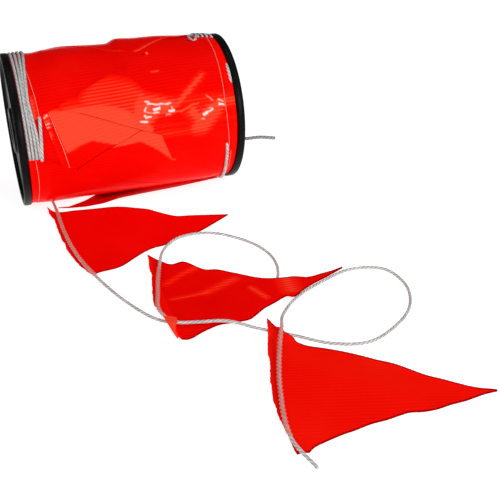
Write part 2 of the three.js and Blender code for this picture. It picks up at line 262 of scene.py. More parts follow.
def cord_finish():
    """White and grey fibre: a sine of the distance along plus that round makes fine yarns slant across
    each strand. groove is painted shade, darkening what lies between strands, and blush is painted
    reflected light, the film's red cast on the cord."""
    finish = Finish("twisted cord", {"Roughness": 0.62, "Specular IOR Level": 0.25})
    part = finish.node("ShaderNodeSeparateXYZ", None, {0: finish.place("UV")})
    yarn = finish.sine(part * (2 * np.pi / YARN_PITCH) + part.at(1) * (2 * np.pi * YARNS_ROUND))
    solid = finish.place("Object")
    patches = finish.noise(solid, 160.0, 3.0)
    pale = finish.blend(patches * 1.8 - 0.4, (0.98, 0.95, 0.94, 1), (0.60, 0.575, 0.57, 1))
    toned = finish.blend(yarn * 0.16 + 0.16, pale, (0.34, 0.33, 0.325, 1))
    toned = finish.blend(finish.mark("cord_shade") * 1.15, toned, (0.07, 0.066, 0.066, 1))
    finish.drive("Base Color", finish.blend(finish.mark("red_bounce"), toned, (0.66, 0.20, 0.19, 1)))
    finish.bump(yarn * 0.5 + finish.noise(solid, 1400.0) * 0.8, 0.00015, 0.7)
    return finish


CORD_FINISH = cord_finish()


def cord_piece(name, path, up, columns=20, shaded_sides=0.0, film_bounce=0.0, core=0.70, shade_all=0.0):
    """Three-strand cord along a path: the radius is R (core + 0.20 sqrt|cos 1.5 a|), where a is the
    angle round the path less one turn for every lay length. up leans the section's zero angle, and
    pressed adds painted shade on the two sides that touch neighbouring turns. stained, a value for every
    point of the path, is how much painted reflected light, the film's red, the cord shows, and grimy adds
    painted shade all over it."""
    along = unit(np.gradient(path, axis=0))
    side = unit(np.cross(along, up))
    top = np.cross(side, along)
    run = run_along(path)
    turn = np.linspace(0, 2 * np.pi, columns, endpoint=False)
    strand = np.sqrt(np.abs(np.cos(1.5 * (turn[None, :] - 2 * np.pi * run[:, None] / LAY))))
    reach = CORD_RADIUS * (core + 0.20 * strand)
    points = path[:, None] + reach[..., None] * (
        np.cos(turn)[None, :, None] * side[:, None] + np.sin(turn)[None, :, None] * top[:, None]
    )
    around = np.linspace(0, 1, columns + 1)
    uv = np.stack(np.broadcast_arrays(run[:, None] * MM, around[None, :]), axis=-1)
    cord_shade = np.maximum(1 - strand, shaded_sides * np.cos(turn)[None, :] ** 4) + shade_all
    made = surface(name, points, CORD_FINISH, uv, around=True, ends=True, flip=True,
                   marks={"cord_shade": cord_shade, "red_bounce": 0 * cord_shade + film_bounce})
    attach(made, "root")
    return made


UP = np.array([0.0, 0.0, 1.0])
loose_path = smooth_path(LOOSE_ROUTE, 1.1)
# The parts of the route, by the places of its points, that are sewn to a pennant.
SEWN_PARTS = {"first": (2, 5), "second": (17, 19), "third": (35, 38)}


def route_part(first, last):
    """Places on the smooth path nearest to two of the route's points."""
    points = np.array(LOOSE_ROUTE, float)
    return (np.argmin(np.linalg.norm(loose_path - points[k], axis=1)) for k in (first, last))


# Where it lies sewn on a pennant, the cord is painted with reflected light, the film's red cast on it.
film_bounce = np.zeros((len(loose_path), 1))
count = np.arange(len(loose_path))
for first, last in SEWN_PARTS.values():
    start, stop = route_part(first, last)
    inside = np.clip((count - start) / 12 + 0.5, 0, 1) * np.clip((stop - count) / 12 + 0.5, 0, 1)
    film_bounce[:, 0] += 0.42 * inside
loose_cord = cord_piece("cord_loose_twisted", loose_path, UP, film_bounce=film_bounce, core=0.62)
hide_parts("cord_loose")

# ---- Cord's inner end ----
# The same cord's other end, poked out through a small hole in the right disc and cut off.
# It is stiff enough to stand out nearly straight.
STUB_ROUTE = [[123, -32, 57], [136, -32, 57], [152, -32.5, 54.5], [172, -34, 54.5], [192, -35, 51]]
stub_path = smooth_path(STUB_ROUTE, 0.9)
# Painted shade darkens all of the stub.
stub = cord_piece("cord_stub_twisted", stub_path, UP, core=0.84, shade_all=0.3)
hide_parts("cord_stub")

# ---- Spool ----
# Two moulded discs of black polypropylene on a tube: each has a thick rounded rim, a recessed web
# and a boss round the spindle hole. The right one has the hole for the cord's inner end.
SPOOL_WIDTH = 264.0
RIM_WIDTH = 9.0
AXIS_HEIGHT = 89.6
INNER_HALF = SPOOL_WIDTH / 2 - RIM_WIDTH
DISC_SIDES = 420
CORD_HOLE = (-32.0, 57.0)
CORD_HOLE_RADIUS = 3.1
CORD_HOLE_DEPTH = 3.6


def spool_finish():
    """Black moulded plastic: fine grain, soft gloss, and grey scuffs where the rim has rubbed."""
    finish = Finish("moulded black", {"Specular IOR Level": 0.09})
    solid = finish.place("Object")
    clouds = finish.noise(solid, 28.0, 4.0)
    streak = finish.node("ShaderNodeMapping", None, {"Vector": solid, "Scale": (1.0, 6.0, 6.0)})
    scrape = finish.noise(streak, 130.0, 4.0)
    worn = finish.rising(scrape, 0.60, 0.74)
    black, scuffed = (0.0012, 0.0009, 0.0009, 1), (0.035, 0.035, 0.036, 1)
    finish.drive("Base Color", finish.blend(worn * clouds, black, scuffed))
    finish.drive("Roughness", clouds * 0.18 + 0.30 + worn * 0.2)
    finish.bump(finish.noise(solid, 900.0) * 0.5 + scrape * 0.6, 0.0002, 0.6)
    return finish


SPOOL_FINISH = spool_finish()
# Half section of a disc as radius and distance outwards from its inner face. The rings are close
# together where the cord's hole comes.
DISC_SECTION = [
    [17.0, 0.0], [34.0, 0.0], [86.0, 0.0], [88.4, 0.1], [89.5, 0.6], [90.0, 1.6],
    [90.0, 4.5], [90.0, 7.4], [89.5, 8.4], [88.4, 9.0], [86.6, 9.0], [85.5, 8.5],
    [85.0, 7.4], [84.8, 6.0], [84.0, 4.9], [82.6, 4.5], [60.0, 4.5], [52.0, 4.5],
    *[[50.0 - 0.7 * ring, 4.5] for ring in range(12)],
    [41.5, 4.5], [38.0, 4.5], [29.0, 4.5], [27.6, 5.0], [27.0, 6.2], [26.8, 7.8],
    [26.0, 8.8], [24.6, 9.0], [19.0, 9.0], [17.5, 8.7], [17.0, 7.8],
]


def disc(name, node, side):
    """The section turned about the axis: height r sin a and depth -r cos a at every angle a.
    Near the cord's hole the web sinks by a smooth step of the distance to the hole's middle."""
    turn = np.linspace(0, 2 * np.pi, DISC_SIDES, endpoint=False)
    radius, out = (np.repeat(column[:, None], DISC_SIDES, axis=1) for column in np.array(DISC_SECTION).T)
    y, z = -radius * np.cos(turn), AXIS_HEIGHT + radius * np.sin(turn)
    if side > 0:
        away = np.hypot(y - CORD_HOLE[0], z - CORD_HOLE[1])
        sunk = np.clip((CORD_HOLE_RADIUS - away) / 0.9, 0, 1)
        out -= np.where(out > 4, CORD_HOLE_DEPTH * sunk * sunk * (3 - 2 * sunk), 0)
    z = np.maximum(z, 0.05)
    points = np.stack([side * (INNER_HALF + out), y, z], axis=-1)
    made = surface(name, points, SPOOL_FINISH, around=True, ring=True, flip=side > 0)
    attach(made, "root")
    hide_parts(node)


disc("disc_left", "flange_left", -1)
disc("disc_right", "flange_right", 1)
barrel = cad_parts["barrel"]
barrel.data.materials.clear()
barrel.data.materials.append(SPOOL_FINISH.material)

# ---- Winding ----
# About a hundred metres of cord with its pennants, wound on in layers until level with the discs' rims.
# The film lies over the turns in flat laps, so the outside is a drum with soft ridges and hollows.
WOUND_HALF = 122.4
MEAN_RADIUS = 88.0
BARREL_RADIUS = 31.0
# The drum's radius, with a row for every place along the axis and a column for every angle but the last,
# which is the first again.
WOUND_X = np.array([-122.7, -109, -98, -80, -60, -8, 5, 50, 90, 110, 122.7])
WOUND_RADII = np.array([
    [83.4, 87.0, 85.0, 87.0, 85.0],
    [84.2, 88.2, 86.0, 87.4, 85.5],
    [84.6, 88.8, 87.0, 86.8, 86.0],
    [85.0, 88.8, 87.6, 89.0, 87.0],
    [85.0, 88.5, 88.0, 90.2, 88.0],
    [85.0, 88.5, 88.5, 88.6, 87.5],
    [85.0, 88.6, 88.8, 92.4, 88.0],
    [85.0, 88.8, 89.2, 92.6, 89.0],
    [84.8, 88.6, 88.6, 90.4, 88.5],
    [84.2, 88.0, 87.6, 88.8, 87.0],
    [83.4, 86.0, 85.5, 87.0, 85.5],
])
WOUND_ANGLES = np.array([-90.0, -60, 20, 110, 200, 270])
# Laps: middle (along the axis, degrees round it), half widths, and how far the film rises or sinks.
LAPS = [
    [8, 118, 11, 34, 1.2], [-50, 82, 34, 9, 1.0], [-18, 10, 42, 7, 1.1], [-64, -10, 30, 9, -1.2],
    [46, 34, 30, 12, 0.9], [82, 12, 18, 10, -1.0], [-30, 165, 45, 11, 1.2], [54, 205, 36, 10, -1.2],
]


def smoothed(t):
    """t t (3 - 2 t), held between 0 and 1."""
    t = np.clip(t, 0, 1)
    return t * t * (3 - 2 * t)


def wound_radius(x, degrees):
    """Radius of the drum: the table blended along the axis and round it, plus a bell for every lap."""
    angle = (degrees + 90) % 360 - 90
    row = np.clip(np.searchsorted(WOUND_X, x, side="right") - 1, 0, len(WOUND_X) - 2)
    s = smoothed((x - WOUND_X[row]) / (WOUND_X[row + 1] - WOUND_X[row]))
    place = np.clip(np.searchsorted(WOUND_ANGLES, angle, side="right") - 1, 0, 4)
    t = smoothed((angle - WOUND_ANGLES[place]) / (WOUND_ANGLES[place + 1] - WOUND_ANGLES[place]))
    radii = np.hstack([WOUND_RADII, WOUND_RADII[:, :1]])
    near = radii[row, place] * (1 - s) + radii[row + 1, place] * s
    far = radii[row, place + 1] * (1 - s) + radii[row + 1, place + 1] * s
    radius = near * (1 - t) + far * t
    for lap_x, lap_angle, along, around, rise in LAPS:
        off = (angle - lap_angle + 180) % 360 - 180
        radius = radius + rise * np.exp(-(((x - lap_x) / along) ** 2) - (off / around) ** 2)
    return radius


def on_reel(x, degrees, radius):
    """Point at an angle round the axis: 0 at the front, 90 on top, 180 at the back."""
    a = np.radians(degrees)
    return np.stack(np.broadcast_arrays(x, -radius * np.cos(a), AXIS_HEIGHT + radius * np.sin(a)), axis=-1)


RIB_PITCH = 0.004
THREAD_PITCH = 0.003


def film_finish():
    """Glossy fluorescent film over a thread grid: sines of the UV place give ribs along a pennant and
    finer threads across, and noise lets both drift. The mark pale is 0.1 on film that is a little more
    orange; at 1 it paints a light orange sheen, its rim breaking up along the ribs; at 2 it paints white
    glints on the hard edges of crumples; and at -1 it paints near black shade deep in a dark fold. The
    marks edge_a and edge_b are the distances from two cut edges in mm: within half of one the film is
    painted dark, partly as its darker cut edge and partly as painted shade of the edge's shadow line."""
    # The constant emission is a painted glow for the fluorescence: it glows under any lamp and lifts the
    # shade.
    finish = Finish("fluorescent film", {
        "Specular IOR Level": 0.006,
        "Emission Color": (1.0, 0.001, 0.0, 1),
        "Emission Strength": 0.13,
    })
    part = finish.node("ShaderNodeSeparateXYZ", None, {0: finish.place("UV")})
    solid = finish.place("Object")
    drift = finish.noise(solid, 12.0, 3.0)
    wander = finish.noise(solid, 45.0) * 0.0008
    ribs = finish.sine((part.at(1) + wander) * (2 * np.pi / RIB_PITCH))
    cross = finish.sine((part + wander) * (2 * np.pi / THREAD_PITCH))
    weave = ribs * 0.26 + cross * 0.08 + ribs * cross * 0.20
    # Painted light: the strip before the sewn line is made lighter, as if the cord tilts it up to the light.
    strip = finish.rising(part, -0.0030, -0.0042)
    tone = 0.50 + weave * (drift * 1.0 + 0.1) + (drift - 0.5) * 0.8 + strip * 0.6
    plain = finish.blend(tone, (0.65, 0.0, 0.0, 1), (0.90, 0.003, 0.001, 1))
    pale = finish.mark("pale")
    warm = finish.blend(weave * 1.2 + 0.5, (0.80, 0.002, 0.0006, 1), (0.97, 0.009, 0.0018, 1))
    plain = finish.blend(pale * 10.0, plain, warm)
    # Painted light and shade from the mark pale: an orange sheen, pink and white glints, and near black
    # shade.
    lit = (pale - 0.5 - ribs * 0.22 + (drift - 0.5) * 0.5) * 2.0 + 0.5
    orange = finish.blend(weave * 0.6 + 0.5, (0.86, 0.045, 0.018, 1), (0.92, 0.080, 0.036, 1))
    toned = finish.blend(lit, plain, orange)
    broken = finish.noise(solid, 260.0) - 0.5
    toned = finish.blend(pale * 1.5 - 1.60 + broken * 0.8, toned, (1.0, 0.20, 0.15, 1))
    toned = finish.blend(pale * 1.5 - 2.20 + broken * 1.2, toned, (1.0, 0.74, 0.70, 1))
    toned = finish.blend(pale * -1.0, toned, (0.01, 0.0, 0.0, 1))
    # A thin dark line along cut edges: partly the film's darker cut edge, partly painted shade for its
    # shadow.
    edges = {0: finish.mark("edge_a"), 1: finish.mark("edge_b")}
    nearest = finish.node("ShaderNodeMath", {"operation": "MINIMUM"}, edges)
    cut = finish.rising(nearest, 0.75, 0.25)
    finish.drive("Base Color", finish.blend(cut, toned, (0.20, 0.0, 0.0, 1)))
    finish.drive("Roughness", drift * 0.14 + 0.07)
    finish.bump(ribs * 0.4 + cross * 0.1 + finish.noise(solid, 200.0) * 0.2, 0.00008, 1.0)
    return finish


FILM = film_finish()


def film_marks(points, edge_a=9.0, edge_b=9.0, pale=0.0):
    """The three marks that film_finish reads, for every point of a grid."""
    blank = np.zeros(points.shape[:2])
    return {"edge_a": blank + edge_a, "edge_b": blank + edge_b, "pale": blank + pale}


# The skin lies a little below the sheets that are laid on it, and goes in to the barrel at both ends.
SKIN_DEPTH = 1.2
skin_x = np.r_[np.linspace(-WOUND_HALF, WOUND_HALF, 150), WOUND_HALF + 0.2, -WOUND_HALF - 0.2]
skin_angle = np.linspace(-90, 270, 240, endpoint=False)
grid_angle, grid_x = np.meshgrid(skin_angle, skin_x, indexing="ij")
grid_radius = wound_radius(grid_x, grid_angle) - SKIN_DEPTH
grid_radius[:, -2:] = BARREL_RADIUS
uv_angle, uv_x = np.meshgrid(np.r_[skin_angle, 270], np.r_[skin_x, skin_x[0]], indexing="ij")
skin = surface(
    "winding_skin", on_reel(grid_x, grid_angle, grid_radius), FILM,
    np.stack([uv_x * MM + 0.2, np.radians(uv_angle) * MEAN_RADIUS * MM], axis=-1), around=True, ring=True,
    marks=film_marks(grid_x[..., None]),
)
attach(skin, "root")
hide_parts("winding")

# ---- Wound pennants ----
# Cut film triangles, 158 mm along the sewn edge and about 200 mm long, that show on the outside
# of the winding. They are sewn to the cord 9 mm in from the short edge with one pale thread.
ARC = MEAN_RADIUS * np.pi / 180  # millimetres round the drum in one degree


def thread_finish():
    """Pale polyester thread with a slight twist."""
    finish = Finish("pale thread", {"Roughness": 0.5, "Specular IOR Level": 0.2})
    solid = finish.place("Object")
    tinted, pale = (0.95, 0.16, 0.10, 1), (0.92, 0.34, 0.26, 1)
    finish.drive("Base Color", finish.blend(finish.noise(solid, 700.0), tinted, pale))
    finish.bump(finish.noise(solid, 2500.0), 0.0001, 0.5)
    return finish


THREAD = thread_finish()


def beside(x, degrees, x0, a0, x1, a1):
    """How far a point is along the line from (x0, a0) to (x1, a1), as a fraction of its length, and how
    far to its upper side, in millimetres on the drum: a dot and a cross product."""
    run = np.array([x1 - x0, (a1 - a0) * ARC])
    size = np.hypot(*run)
    u = ((x - x0) * run[0] + (degrees - a0) * ARC * run[1]) / size**2
    d = ((x - x0) * -run[1] + (degrees - a0) * ARC * run[0]) / size
    return u, d


def crease(x, degrees, line):
    """Height of a fold: a tent over the line from (x0, a0) to (x1, a1), as wide on its upper side as
    first and on its lower side as second, in millimetres."""
    *ends, rise, first, second = line
    u, d = beside(x, degrees, *ends)
    tent = np.clip(1 - np.where(d > 0, d / first, -d / second), 0, 1)
    return rise * tent * smoothed((u + 0.15) / 0.3) * smoothed((1.15 - u) / 0.3)


def crumple(x, degrees, patch):
    """Small sharp dents in an oval patch: the ridges |sin| of three slanting waves, faded to its rim."""
    px, pa, along, around, rise = patch
    s, t = x - px, (degrees - pa) * ARC
    fade = np.exp(-((s / along) ** 2) - (t / around) ** 2)
    waves = np.abs(np.sin(0.42 * s + 0.31 * t + 1.3 * np.sin(0.21 * t)))
    waves = waves + np.abs(np.sin(0.23 * s - 0.55 * t + 1.1 * np.sin(0.17 * s)))
    return rise * fade * (waves + 0.5 * np.abs(np.sin(0.8 * s + 0.2 * t)))


def band(x, degrees, rows, soft, value):
    """A value between a lower and an upper angle, given at places along the axis, and 0 outside them."""
    rows = np.array(rows, float)
    low = np.interp(x, rows[:, 0], rows[:, 1])
    high = np.interp(x, rows[:, 0], rows[:, 2])
    return value * smoothed((degrees - low) / soft[0] + 0.5) * smoothed((high - degrees) / soft[1] + 0.5)


def stroke(x, degrees, line):
    """A soft bar of painted light or shade from (x0, a0) to (x1, a1): value exp(-(d / half width)^2)."""
    *ends, half, value = line
    u, d = beside(x, degrees, *ends)
    return value * np.exp(-((d / half) ** 2)) * smoothed((u + 0.2) / 0.3) * smoothed((1.2 - u) / 0.3)


def along_edge(edge, t):
    """Place at fraction t of an edge's length, the edge being a list of (x, degrees)."""
    edge = np.array(edge, float)
    run = np.r_[0, np.cumsum(np.hypot(np.diff(edge[:, 0]), np.diff(edge[:, 1]) * ARC))]
    run /= run[-1]
    return np.interp(t, run, edge[:, 0]), np.interp(t, run, edge[:, 1])


def thread_line(name, path, out):
    """Running stitch: a thin tube that bobs above the film by 0.12 (1 + cos) once every 3 mm."""
    run = np.arange(len(path)) * 1.0
    line = path + out * (0.12 + 0.12 * np.cos(2 * np.pi * run / 3))[:, None]
    side = np.cross(unit(np.gradient(line, axis=0)), out)
    turn = np.linspace(0, 2 * np.pi, 6, endpoint=False)[None, :, None]
    points = line[:, None] + 0.34 * (np.cos(turn) * side[:, None] + np.sin(turn) * out[:, None])
    made = surface(name, points, THREAD, around=True, ends=True, flip=True)
    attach(made, "root")
    return made


def wound_sheet(
    name, lower, upper, sewn, level, heading, shown=(-400, 400), folds=(), dents=(), bands=(), strokes=(),
    shades=(), lift=0.35, cut=((1, -200, 200), (1, -200, 200)), grid=(96, 64),
):
    """Film between two edges that start at the short side and meet at the tip, laid on the drum.

    The grid point (t, s) is lower(t) (1 - s) + upper(t) s, in mm along the axis and degrees round it, at
    the drum's radius + level + the folds and dents, and its rim curls up by lift. The flat pattern is the
    same place turned by the heading. cut gives how dark and lifted each long edge is, and between which x;
    the dark is partly the cut edge and partly painted shade. The mark pale is the largest of the bands and
    strokes, painted sheen and glints, less the shades, painted shade. The thread follows the line
    sewn, and sinks out of sight beyond the angles it is shown between.
    """
    t = np.linspace(0, 0.994, grid[0])[:, None]
    s = np.linspace(0, 1, grid[1])[None, :]
    (x0, a0), (x1, a1) = along_edge(lower, t), along_edge(upper, t)
    x, a = x0 * (1 - s) + x1 * s, a0 * (1 - s) + a1 * s
    width = np.hypot(x1 - x0, (a1 - a0) * ARC)
    edge_a, edge_b = width * s, width * (1 - s)
    keen_a, keen_b = (
        value * smoothed((x - left) / 6 + 0.5) * smoothed((right - x) / 6 + 0.5) for value, left, right in cut
    )
    base = np.hypot(x - x[:1], (a - a[:1]) * ARC)
    curl = keen_a * np.exp(-edge_a / 2.5) + keen_b * np.exp(-edge_b / 2.5) + np.exp(-base / 2.5)
    high = level + lift * curl
    high = high + sum((crease(x, a, line) for line in folds), 0 * x)
    high = high + sum((crumple(x, a, patch) for patch in dents), 0 * x)
    points = on_reel(np.clip(x, 0.1 - WOUND_HALF, WOUND_HALF - 0.1), a, wound_radius(x, a) + high)
    points[..., 2] = np.maximum(points[..., 2], 0.3 + 0.1 * level)
    pale = 0 * x
    for rows in bands:
        pale = np.maximum(pale, band(x, a, *rows))
    wander_x, wander_a = x + 0.5 * np.sin(1.0 * a), a + 0.25 * np.sin(0.55 * x + 0.4 * a)
    for line in strokes:
        pale = np.maximum(pale, stroke(wander_x, wander_a, line))
    for line in shades:
        pale = pale - stroke(x, a, line)
    h = np.radians(heading)
    sewn = np.array(sewn, float)
    middle = sewn.mean(axis=0)
    u = (x - middle[0]) * np.cos(h) + (a - middle[1]) * ARC * np.sin(h)
    v = (a - middle[1]) * ARC * np.cos(h) - (x - middle[0]) * np.sin(h)
    edge_a, edge_b = edge_a + (1 - keen_a) * 0.8, edge_b + (1 - keen_b) * 0.8
    made = surface(
        name, points, FILM, np.stack([u, v], axis=-1) * MM, flip=bool(x[0].mean() < x[-1].mean()),
        marks=film_marks(points, edge_a, edge_b, pale),
    )
    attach(made, "root")
    sx, sa = along_edge(sewn, np.linspace(0, 1, 150))
    hidden = np.clip(np.maximum(shown[0] - sa, sa - shown[1]) / 2, 0, 1)
    raised = sum((crease(sx, sa, line) for line in folds), 0 * sx)
    line = on_reel(sx, sa, wound_radius(sx, sa) + level + raised + 0.18 - (1.6 + raised) * hidden)
    line[:, 2] = np.maximum(line[:, 2], 0.4)
    r = np.radians(sa)
    stitch = thread_line(name + "_stitch", line, np.stack([0 * r, -np.cos(r), np.sin(r)], axis=-1))


# Left, low: comes out over the cord turns by the left disc.
wound_sheet(
    "wound_low_left", level=0.9, heading=0, shown=(-90, -1), lift=0.3,
    cut=((0, 0, 0), (1, -130, -107)),
    lower=[[-125, -100], [-115, -100], [0, -70], [40, -56]],
    upper=[[-125, 2], [-104, -0.5], [-60, -17], [40, -50]],
    sewn=[[-115.5, -98], [-116, -51], [-114, -24], [-114, -13], [-115, 1]],
)
# Left, slanting: in its middle a stretch is painted with a light orange sheen.
# Bands are rows of x, lower and upper angle.
ORANGE_SHEEN = [
    [-95, 38, 33], [-93.5, 34, 34], [-90, 27, 34], [-87, 18, 34], [-82, 6, 34], [-80, 3, 34], [-65, 7, 35],
    [-51, 10, 35], [-36, 7, 35], [-21, 4, 33], [-6, 0, 29], [6, 0, 22], [16, 8, 17], [22, 14, 12],
]
wound_sheet(
    "wound_slanting", level=0.0, heading=13.4, shown=(-14, 36),
    lower=[[-84, -15], [-75, -14], [-43, -7], [0, 3], [50, 20], [95, 62]],
    upper=[[-119, 78], [-111, 80], [-40, 72], [40, 66], [95, 64]],
    sewn=[[-78, -12], [-80, -5], [-84, 8], [-88, 18], [-91, 27], [-94, 35], [-111, 79]],
    folds=[[-90, -3, -51, 10, 0.9, 20, 8], [-51, 10, 0, 3, 0.7, 18, 8]],
    dents=[[-98, 30, 7, 16, 0.6], [-96, 10, 6, 18, 0.5]],
    bands=[(ORANGE_SHEEN, (3.0, 5.0), 1.0)], grid=(150, 110),
    # Painted glints and sheen on the crumples beside its sewn line.
    strokes=[
        [-100.6, 29.8, -97, 31.2, 1.5, 2.0], [-97, 31.2, -94.3, 31.8, 1.5, 2.2],
        [-102.2, 24.6, -97.8, 25.2, 1.3, 2.2], [-97.8, 25.2, -93.4, 26.2, 1.2, 2.1],
        [-102.7, 21.6, -98.3, 22.6, 1.5, 2.4], [-98.3, 22.6, -94.6, 23.6, 1.2, 2.1],
        [-98.9, 35.4, -96.6, 33.7, 1.0, 1.7], [-95.2, 19.2, -95, 13.9, 1.4, 1.0],
        [-95, 13.9, -97.2, 7.9, 1.2, 0.95], [-103.5, 15.4, -100.7, 14.4, 1.8, 1.0],
        [-101, 27, -94, 27, 4, 0.7], [-97, -8, -90, -9, 0.9, 0.9],
    ],
)
# Right, lower: its tip points left, and its upper corner shows under the next one, painted with a light
# orange sheen.
FACET_SHEEN = [
    [-26, 3, 4], [-10, 4, 16], [4, 5, 18], [18, -1, 18], [28, -6, 16], [36, -11, 10], [42, -15, -6],
    [46, -16, -17],
]
wound_sheet(
    "wound_right_low", level=0.45, heading=184, shown=(-60, -11),
    lower=[[126, -76], [115, -76], [65, -58], [6, -49], [-35, -31], [-76, -15]],
    upper=[[124, 28], [113, 28], [60, 27], [6, 13], [-43, -1], [-76, -15]],
    sewn=[[115, -74], [116, -34], [115, -11], [113, 27]],
    folds=[[-10, 4, 18, 2, 0.8, 14, 6], [18, 2, 40, -14, 0.8, 14, 6]],
    bands=[(FACET_SHEEN, (2.0, 2.0), 1.0)],
)
# Left, upper: sewn line close to the cord turns.
wound_sheet(
    "wound_left", level=0.75, heading=3.6, shown=(30, 120), lift=0.1,
    cut=((0.35, -110, -60), (0, 0, 0)),
    lower=[[-113, 29], [-104, 30], [-91, 35], [-73, 39], [-52, 44], [-24, 52], [85, 80]],
    upper=[[-119, 133], [-110, 133], [-40, 115], [85, 82]],
    sewn=[[-104, 31], [-105, 45], [-107, 60], [-109, 74], [-110, 100], [-110, 131]],
    dents=[[-99, 36, 7, 9, 0.4]],
    # A stroke of painted sheen beside its sewn line.
    strokes=[[-108.9, 29, -109.4, 46, 2.4, 0.82]],
)
# Right, upper: the topmost, with its long lower edge across the front and a crumpled middle. Painted sheen
# shows its ribs in a band above the painted light stretch, and more softly round the crumples.
BARS = [[-60, 37, 38], [-50, 34, 46], [-38, 32, 52], [-20, 30, 54], [0, 26, 50], [12, 24, 42], [18, 30, 31]]
SHINE_MIDDLE = [
    [-2, 22, 24], [4, 16, 36], [15, 15, 38], [28, 22, 36], [42, 24, 33], [52, 27, 32], [58, 29, 30],
]
SHINE_RIGHT = [[62, 8, 9], [70, 5, 15], [82, 5, 24], [94, 12, 28], [104, 19, 31], [110, 24, 30]]
# Painted glints on its crumples, each a short white stroke: two ends, half width and value.
GLINTS = [
    [14.3, 33.4, 19.9, 32.0, 2.1, 2.00], [15.4, 31.1, 30.2, 29.8, 2.1, 2.05],
    [27.3, 29.9, 43.9, 29.6, 2.2, 2.00], [14.5, 29.5, 12.9, 25.5, 2.4, 1.95],
    [22.4, 26.1, 31.3, 27.5, 2.8, 2.35], [22.1, 24.1, 28.7, 24.3, 1.9, 2.10],
    [11.3, 25.6, 22.9, 24.2, 1.4, 1.75], [39.4, 24.6, 47.0, 24.3, 2.4, 2.35],
    [44.3, 27.5, 44.8, 24.7, 1.8, 1.85], [10.2, 23.6, 14.8, 21.1, 2.1, 1.95],
    [12.3, 21.1, 20.0, 22.0, 2.1, 2.10], [5.6, 18.8, 15.0, 18.9, 2.4, 2.05],
    [36.1, 22.0, 42.3, 22.0, 1.4, 1.75], [46.7, 23.0, 58.5, 23.6, 1.1, 1.15],
    [57.2, 23.5, 64.6, 26.0, 1.1, 1.15], [63.2, 25.8, 76.8, 27.7, 1.0, 1.10],
    [80.1, 18.7, 87.0, 20.0, 2.8, 2.35], [85.3, 19.8, 93.6, 22.3, 2.4, 2.15],
    [77.5, 15.5, 82.2, 16.1, 1.9, 1.85], [87.7, 32.3, 94.4, 27.9, 1.4, 1.65],
    [100.0, 28.6, 107.9, 26.7, 1.9, 1.85], [100.3, 25.3, 107.9, 24.0, 2.4, 2.20],
    [86.1, 23.1, 91.1, 23.6, 1.4, 1.75], [90.2, 24.0, 101.1, 24.3, 0.9, 1.30],
]
wound_sheet(
    "wound_right", level=1.15, heading=183, shown=(-8, 97), lift=0.25,
    cut=((1, -60, 41), (0.3, -40, 20)), grid=(210, 150),
    lower=[[124, -14], [112, -15], [80, -17], [41, -13.5], [29, 8], [8, 12.5], [-17, 19], [-39, 25],
           [-59, 30], [-82, 36]],
    upper=[[121, 97], [112, 96], [60, 84], [32, 75], [-28, 54], [-82, 37]],
    sewn=[[112, -9], [110, 10], [109, 25], [110, 45], [111, 65], [112, 94]],
    folds=[[47, 26, 90, 50, 1.4, 4, 9], [-50, 46, 10, 62, 0.4, 16, 16], [60, 13, 108, 18, 0.5, 14, 12],
           [78, 93, 88, 87, -3.6, 6, 6], [8, 14, 20, 33, 0.5, 5, 8]],
    dents=[[22, 26, 13, 10, 0.55], [44, 28, 8, 8, 0.5], [86, 20, 8, 8, 0.6], [104, 27, 6, 6, 0.5],
           [27, 72, 3, 3, 0.7]],
    bands=[(ORANGE_SHEEN, (3.0, 9.0), 1.0), (BARS, (8.0, 11.0), 0.45), (SHINE_MIDDLE, (6.0, 8.0), 0.72),
           (SHINE_RIGHT, (9.0, 7.0), 0.66)],
    # Painted sheen streaks and highlights besides the glints.
    strokes=GLINTS + [
        [50, 28, 86, 48, 3.2, 0.78], [2, 22, 12, 40, 7, 0.6], [66, 24, 78, 14, 7, 0.78],
        [70, 12, 96, 22, 8, 0.55], [28, 55, 37, 55, 0.7, 0.95], [82, 46, 87, 49, 0.8, 0.95],
        [14, 31, 24, 23, 6, 1.16], [24, 28, 42, 26, 4, 1.12], [80, 18, 92, 22, 3.5, 1.15],
        [99, 27, 108, 26, 3, 1.12], [29.5, 74.5, 30.5, 71.5, 1.1, 1.8],
    ],
    # Painted shade: a dark hollow by the kink, and a dark line at the tuck.
    shades=[[79, 96, 88, 87, 3.0, 1.0], [18, 73.5, 26, 71, 0.8, 0.8]],
)
# Top: laid over from behind, its front edges folded under and meeting in a small tuck.
wound_sheet(
    "wound_top", level=1.25, heading=182, lift=0.5, shown=(120, 190), cut=((0.25, -80, 40), (1, -200, 200)),
    lower=[[121, 113], [112, 113], [92, 104], [80, 98], [61, 93], [45, 86], [30, 79], [19, 74.5], [5, 77],
           [-6, 81], [-17, 86], [-39, 98], [-51, 104], [-62, 108], [-79, 113]],
    upper=[[121, 205], [112, 205], [60, 180], [-79, 118]],
    sewn=[[112, 115], [112, 203]],
    # Painted sheen along its folded front edges, and a painted highlight on the tuck.
    strokes=[[-79, 112, -62, 108, 1.5, 0.6], [-62, 107, -17, 86, 1.2, 0.7], [-17, 86, 5, 77, 1.2, 0.5],
             [17, 75, 61, 94, 1.8, 0.8], [24, 74, 30, 75, 1.0, 1.6]],
)
# Back and underside: name, level, heading, place and lower angle of the short side, place of the tip.
BACK = [
    ["wound_back_left", 0.0, 0, -112, 134, 83, 185], ["wound_back_right", 0.4, 176, 110, 206, -84, 250],
    ["wound_under_left", 0.2, 4, -110, 216, 84, 262],
]
for name, level, heading, x, degrees, tip_x, tip_degrees in BACK:
    side = 9 if x > 0 else -9
    wound_sheet(
        name, level=level, heading=heading,
        lower=[[x + side, degrees], [x, degrees], [tip_x, tip_degrees]],
        upper=[[x + side, degrees + 102], [x, degrees + 102], [tip_x, tip_degrees]],
        sewn=[[x, degrees + 2], [x, degrees + 100]],
    )

